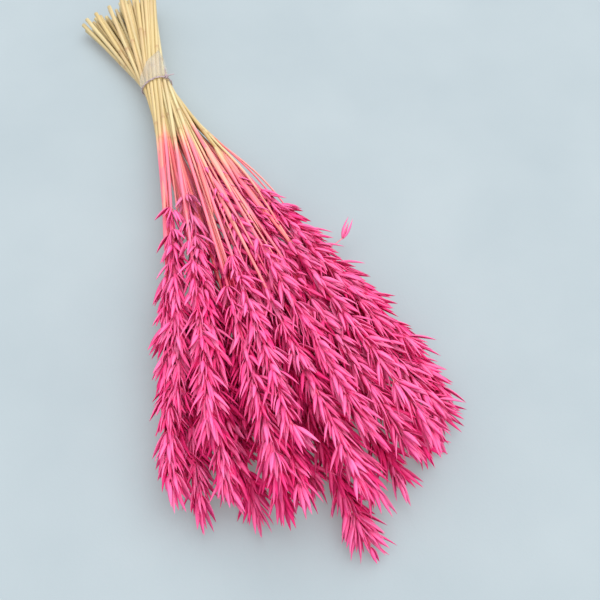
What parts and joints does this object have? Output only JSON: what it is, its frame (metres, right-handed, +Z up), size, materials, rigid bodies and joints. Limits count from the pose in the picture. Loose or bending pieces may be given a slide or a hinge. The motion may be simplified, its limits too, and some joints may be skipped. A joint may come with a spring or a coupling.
{
  "type": "dried oats bundle",
  "caption": "Bunch of pink dyed dried oats lying flat, straw stalks tied once near the cut ends and spikelet heads fanned out.",
  "frame": {"origin": "middle of the footprint of the lying bundle, on the surface that it lies on", "axes": "+Z up from that surface, +Y along the bundle towards the cut ends of the stalks, -Y towards the heads, +X across the fan of heads"},
  "size_m": [0.272, 0.6512, 0.0895],
  "materials": {
    "dried_oat": "matte dyed straw, cream at the stalks and hot pink at the heads",
    "tie_elastic": "thin pale greyish pink elastic"
  },
  "bodies": {
    "root": {"oat_01": "dried_oat", "oat_02": "dried_oat", "oat_03": "dried_oat", "oat_04": "dried_oat", "oat_05": "dried_oat", "oat_06": "dried_oat", "oat_07": "dried_oat", "oat_08": "dried_oat", "oat_09": "dried_oat", "oat_10": "dried_oat", "oat_11": "dried_oat", "oat_12": "dried_oat", "oat_13": "dried_oat", "oat_14": "dried_oat", "oat_15": "dried_oat", "oat_16": "dried_oat", "oat_17": "dried_oat", "oat_18": "dried_oat", "oat_19": "dried_oat", "oat_20": "dried_oat", "oat_21": "dried_oat", "oat_22": "dried_oat", "oat_23": "dried_oat", "oat_24": "dried_oat", "oat_25": "dried_oat", "oat_26": "dried_oat", "oat_27": "dried_oat", "oat_28": "dried_oat", "oat_29": "dried_oat", "oat_30": "dried_oat", "oat_31": "dried_oat", "oat_32": "dried_oat", "oat_33": "dried_oat", "oat_34": "dried_oat", "oat_35": "dried_oat", "tie": "tie_elastic"}
  },
  "joints": []
}
